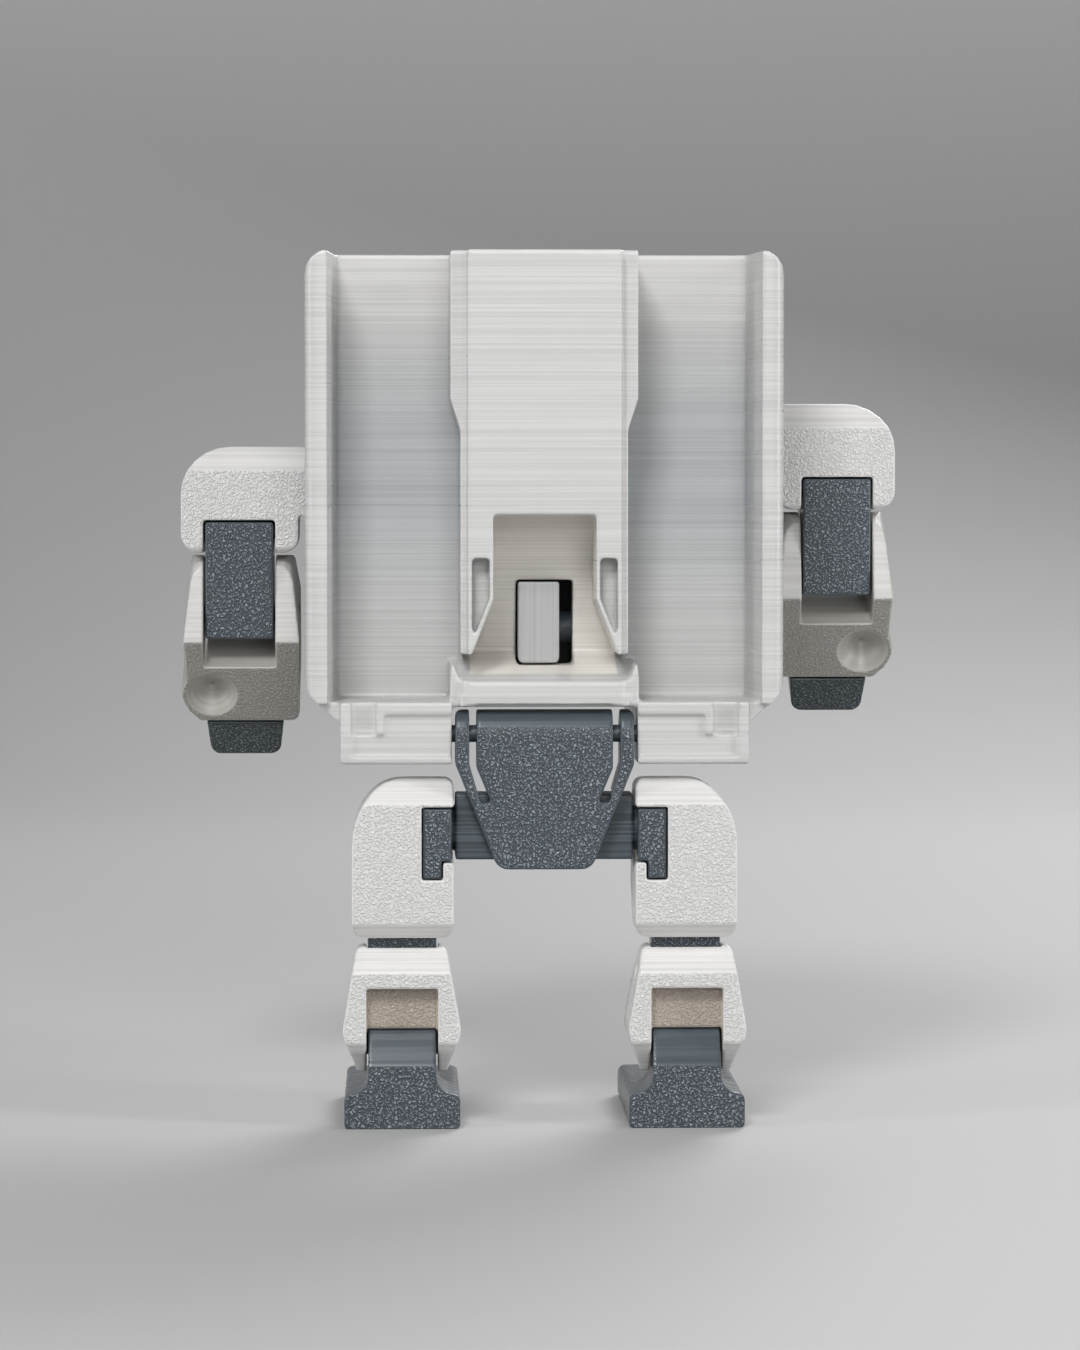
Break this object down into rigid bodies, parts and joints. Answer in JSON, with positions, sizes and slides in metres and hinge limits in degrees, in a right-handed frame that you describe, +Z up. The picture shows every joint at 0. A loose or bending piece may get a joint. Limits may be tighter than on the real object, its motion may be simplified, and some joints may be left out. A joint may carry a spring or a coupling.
{
  "type": "humanoid robot kit",
  "caption": "Posable box-bodied robot figure with jointed arms and legs, hinged waist, shoulder cranks and a rear release latch.",
  "frame": {"origin": "floor under the middle of the standing figure's box", "axes": "+Z up, the figure faces +Y, its right hand at +X"},
  "size_m": [0.0898, 0.04, 0.1058],
  "materials": {
    "torso_white": "printed white plastic, fine horizontal layer lines, soft sheen",
    "white_shell": "printed white plastic, pebbled rear faces, smooth chamfers",
    "grey_parts": "printed blue-grey plastic, pebbled rear faces, fine layer lines",
    "visor": "smooth dark grey plastic",
    "lens": "smooth pale plastic"
  },
  "bodies": {
    "torso": {"torso_shell": "torso_white", "front_cover": "torso_white", "visor_panel": "visor", "left_eye_lens": "lens", "right_eye_lens": "lens", "chest_vent": "grey_parts", "latch_pin": "grey_parts", "waist_pin": "grey_parts"},
    "latch": {"release_latch": "white_shell"},
    "pelvis": {"pelvis": "grey_parts", "hip_crossbar": "grey_parts"},
    "left_hub": {"left_shoulder_hub": "grey_parts", "left_hub_retainer": "grey_parts"},
    "left_upper_arm": {"left_shoulder_block": "white_shell", "left_elbow_upper_pin": "grey_parts"},
    "left_elbow": {"left_elbow_link": "grey_parts"},
    "left_lower_arm": {"left_forearm": "white_shell", "left_elbow_lower_pin": "grey_parts"},
    "left_hand": {"left_hand": "grey_parts"},
    "left_thigh": {"left_thigh": "white_shell", "left_hip_head": "grey_parts", "left_knee_upper_pin": "grey_parts"},
    "left_knee": {"left_knee_link": "grey_parts"},
    "left_shin": {"left_shin": "white_shell", "left_knee_lower_pin": "grey_parts", "left_ankle_pin": "grey_parts"},
    "left_foot": {"left_foot": "grey_parts"},
    "right_hub": {"right_shoulder_hub": "grey_parts", "right_hub_retainer": "grey_parts"},
    "right_upper_arm": {"right_shoulder_block": "white_shell", "right_elbow_upper_pin": "grey_parts"},
    "right_elbow": {"right_elbow_link": "grey_parts"},
    "right_lower_arm": {"right_forearm": "white_shell", "right_elbow_lower_pin": "grey_parts"},
    "right_hand": {"right_hand": "grey_parts"},
    "right_thigh": {"right_thigh": "white_shell", "right_hip_head": "grey_parts", "right_knee_upper_pin": "grey_parts"},
    "right_knee": {"right_knee_link": "grey_parts"},
    "right_shin": {"right_shin": "white_shell", "right_knee_lower_pin": "grey_parts", "right_ankle_pin": "grey_parts"},
    "right_foot": {"right_foot": "grey_parts"}
  },
  "joints": [
    {"name": "latch_press", "type": "slide", "parent": "torso", "child": "latch", "axis": [0, 1, 0], "range_m": [0, 0.0015]},
    {"name": "waist", "type": "hinge", "parent": "torso", "child": "pelvis", "pos_m": [0, -0.017, 0.0476], "axis": [1, 0, 0], "range_deg": [-90, 15]},
    {"name": "left_shoulder_swing", "type": "hinge", "parent": "torso", "child": "left_hub", "pos_m": [-0.0288, 0.00645, 0.0807], "axis": [1, 0, 0], "range_deg": [-17, 102]},
    {"name": "left_shoulder_turn", "type": "hinge", "parent": "left_hub", "child": "left_upper_arm", "pos_m": [-0.0301, 0.0094, 0.078], "axis": [1, 0, 0], "range_deg": [-60, 180]},
    {"name": "left_elbow_upper", "type": "hinge", "parent": "left_upper_arm", "child": "left_elbow", "pos_m": [-0.0375, 0.0086, 0.0718], "axis": [1, 0, 0], "range_deg": [0, 30]},
    {"name": "left_elbow_lower", "type": "hinge", "parent": "left_elbow", "child": "left_lower_arm", "pos_m": [-0.0375, 0.0086, 0.0613], "axis": [1, 0, 0], "range_deg": [-33, 50]},
    {"name": "left_wrist", "type": "hinge", "parent": "left_lower_arm", "child": "left_hand", "pos_m": [-0.037, 0.0143, 0.05069], "axis": [0, -0.5446, 0.8387], "range_deg": [-90, 90]},
    {"name": "left_hip", "type": "hinge", "parent": "pelvis", "child": "left_thigh", "pos_m": [-0.0172, -0.0145, 0.036], "axis": [1, 0, 0], "range_deg": [-60, 60]},
    {"name": "left_knee_upper", "type": "hinge", "parent": "left_thigh", "child": "left_knee", "pos_m": [-0.0172, -0.0144, 0.0262], "axis": [-1, 0, 0], "range_deg": [-40, 0]},
    {"name": "left_knee_lower", "type": "hinge", "parent": "left_knee", "child": "left_shin", "pos_m": [-0.0172, -0.0144, 0.0185], "axis": [-1, 0, 0], "range_deg": [-40, 0]},
    {"name": "left_ankle", "type": "hinge", "parent": "left_shin", "child": "left_foot", "pos_m": [-0.0172, -0.014, 0.0094], "axis": [1, 0, 0], "range_deg": [-20, 12]},
    {"name": "right_shoulder_swing", "type": "hinge", "parent": "torso", "child": "right_hub", "pos_m": [0.0288, 0.00645, 0.0807], "axis": [1, 0, 0], "range_deg": [-102, 17]},
    {"name": "right_shoulder_turn", "type": "hinge", "parent": "right_hub", "child": "right_upper_arm", "pos_m": [0.0301, 0.0094, 0.0834], "axis": [1, 0, 0], "range_deg": [-60, 180]},
    {"name": "right_elbow_upper", "type": "hinge", "parent": "right_upper_arm", "child": "right_elbow", "pos_m": [0.0375, 0.0086, 0.0772], "axis": [1, 0, 0], "range_deg": [0, 30]},
    {"name": "right_elbow_lower", "type": "hinge", "parent": "right_elbow", "child": "right_lower_arm", "pos_m": [0.0375, 0.0086, 0.0667], "axis": [1, 0, 0], "range_deg": [-33, 50]},
    {"name": "right_wrist", "type": "hinge", "parent": "right_lower_arm", "child": "right_hand", "pos_m": [0.037, 0.0143, 0.05609], "axis": [0, -0.5446, 0.8387], "range_deg": [-90, 90]},
    {"name": "right_hip", "type": "hinge", "parent": "pelvis", "child": "right_thigh", "pos_m": [0.0172, -0.0145, 0.036], "axis": [1, 0, 0], "range_deg": [-60, 60]},
    {"name": "right_knee_upper", "type": "hinge", "parent": "right_thigh", "child": "right_knee", "pos_m": [0.0172, -0.0144, 0.0262], "axis": [-1, 0, 0], "range_deg": [-40, 0]},
    {"name": "right_knee_lower", "type": "hinge", "parent": "right_knee", "child": "right_shin", "pos_m": [0.0172, -0.0144, 0.0185], "axis": [-1, 0, 0], "range_deg": [-40, 0]},
    {"name": "right_ankle", "type": "hinge", "parent": "right_shin", "child": "right_foot", "pos_m": [0.0172, -0.014, 0.0094], "axis": [1, 0, 0], "range_deg": [-20, 12]}
  ]
}
